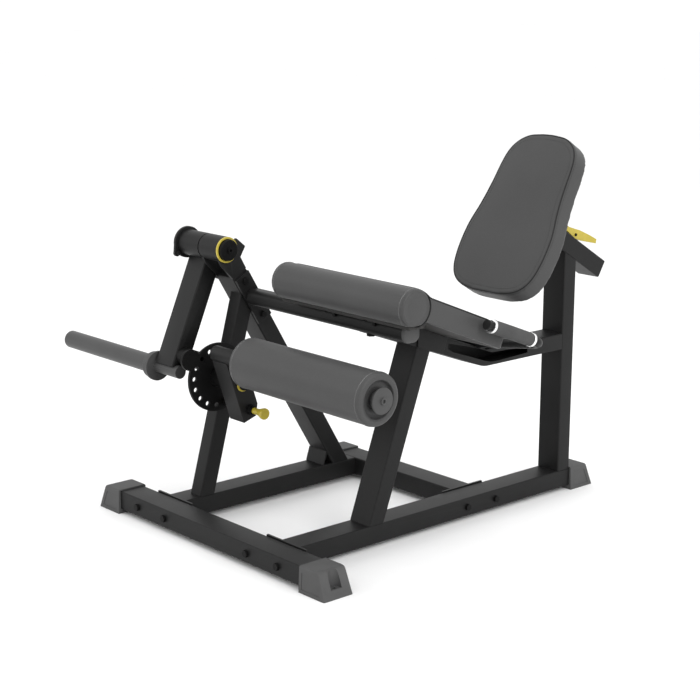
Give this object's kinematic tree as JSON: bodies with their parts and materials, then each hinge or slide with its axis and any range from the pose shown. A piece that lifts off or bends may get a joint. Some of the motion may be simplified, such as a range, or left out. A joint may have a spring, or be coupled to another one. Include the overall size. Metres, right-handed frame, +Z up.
{
  "type": "plate-loaded leg extension machine",
  "caption": "Plate-loaded seated leg extension machine with a side weight arm, swinging shin roller on an indexed lever, and a sliding back rest.",
  "frame": {"origin": "on the floor, below the middle of the machine's bounding box", "axes": "+Z up; +Y towards the rear, where the back rest is; -X towards the free end of the weight horn"},
  "size_m": [1.3109, 1.1918, 0.9948],
  "materials": {
    "frame_paint": "satin powder coat",
    "horn_grey": "satin grey paint",
    "black_hardware": "black oxide",
    "bearing_steel": "ground",
    "rubber": "matte",
    "pad_vinyl": "smooth grey vinyl",
    "board": "black stained",
    "core_plastic": "matte",
    "liner_plastic": "matte",
    "grip_foam": "foam",
    "ring_metal": "bright",
    "yellow_plastic": "gloss"
  },
  "bodies": {
    "frame": {"front_cross_tube": "frame_paint", "left_base_tube": "frame_paint", "seat_base_tube": "frame_paint", "rear_cross_tube": "frame_paint", "joint_flanges": "frame_paint", "base_bolts": "black_hardware", "rubber_feet": "rubber", "left_upright": "frame_paint", "slanted_post": "frame_paint", "post_gusset": "frame_paint", "pivot_ears": "frame_paint", "bearing_housing": "frame_paint", "knee_bearings": "bearing_steel", "seal_ring": "yellow_plastic", "stop_block": "frame_paint", "stop_bumper": "rubber", "front_beam": "frame_paint", "beam_flange": "frame_paint", "flange_bolts": "black_hardware", "beam_bolts": "black_hardware", "beam_end_cap": "rubber", "seat_rail": "frame_paint", "seat_upright": "frame_paint", "rail_plates": "frame_paint", "rear_post": "frame_paint", "knee_roll_pad": "pad_vinyl", "knee_roll_brackets": "black_hardware", "seat_pad": "pad_vinyl", "seat_board": "board", "handle_bar": "frame_paint", "handle_grips": "grip_foam", "grip_rings": "ring_metal", "back_sleeve": "frame_paint", "sleeve_liner": "liner_plastic", "latch_ears": "frame_paint", "lever_pin": "black_hardware"},
    "weight_arm": {"arm_hub": "frame_paint", "end_flange": "frame_paint", "knee_shaft": "black_hardware", "arm_tube": "frame_paint", "weight_horn": "horn_grey", "horn_collar": "rubber", "disc_carrier": "black_hardware", "selector_disc": "black_hardware", "lever_pivot": "black_hardware"},
    "roller_lever": {"lever_tube": "frame_paint", "lever_ring": "yellow_plastic", "pin_barrel": "black_hardware", "roller_shaft": "frame_paint", "roller_end_cap": "horn_grey"},
    "shin_roller": {"roller_core": "core_plastic", "roller_pad": "pad_vinyl"},
    "pull_pin": {"pull_pin": "yellow_plastic"},
    "back_carriage": {"slide_tube": "frame_paint", "back_plate": "frame_paint", "back_board": "board", "back_pad": "pad_vinyl"},
    "release_lever": {"release_lever": "yellow_plastic"},
    "latch_pin": {"latch_pin": "black_hardware"}
  },
  "joints": [
    {"name": "knee_swing", "type": "hinge", "parent": "frame", "child": "weight_arm", "pos_m": [-0.0955, -0.3609, 0.712], "axis": [-1, 0, 0], "range_deg": [0, 100]},
    {"name": "lever_adjust", "type": "hinge", "parent": "weight_arm", "child": "roller_lever", "pos_m": [-0.0535, -0.4029, 0.382], "axis": [1, 0, 0], "range_deg": [-22.5, 135]},
    {"name": "roller_spin", "type": "hinge", "parent": "roller_lever", "child": "shin_roller", "pos_m": [0.3695, -0.4399, 0.459], "axis": [1, 0, 0], "continuous": true},
    {"name": "pin_pull", "type": "slide", "parent": "roller_lever", "child": "pull_pin", "axis": [-1, 0, 0], "range_m": [0, 0.012]},
    {"name": "back_slide", "type": "slide", "parent": "frame", "child": "back_carriage", "axis": [0, -0.8572, 0.515], "range_m": [-0.08, 0.06]},
    {"name": "lever_press", "type": "hinge", "parent": "frame", "child": "release_lever", "pos_m": [0.3695, 0.48346, 0.71956], "axis": [1, 0, 0], "range_deg": [0, 8]},
    {"name": "latch_drop", "type": "slide", "parent": "frame", "child": "latch_pin", "axis": [0, -0.515, -0.8572], "range_m": [0, 0.0055]}
  ],
  "couplings": [
    {"joint": "latch_drop", "follows": "lever_press", "m_per_rad": 0.038}
  ]
}
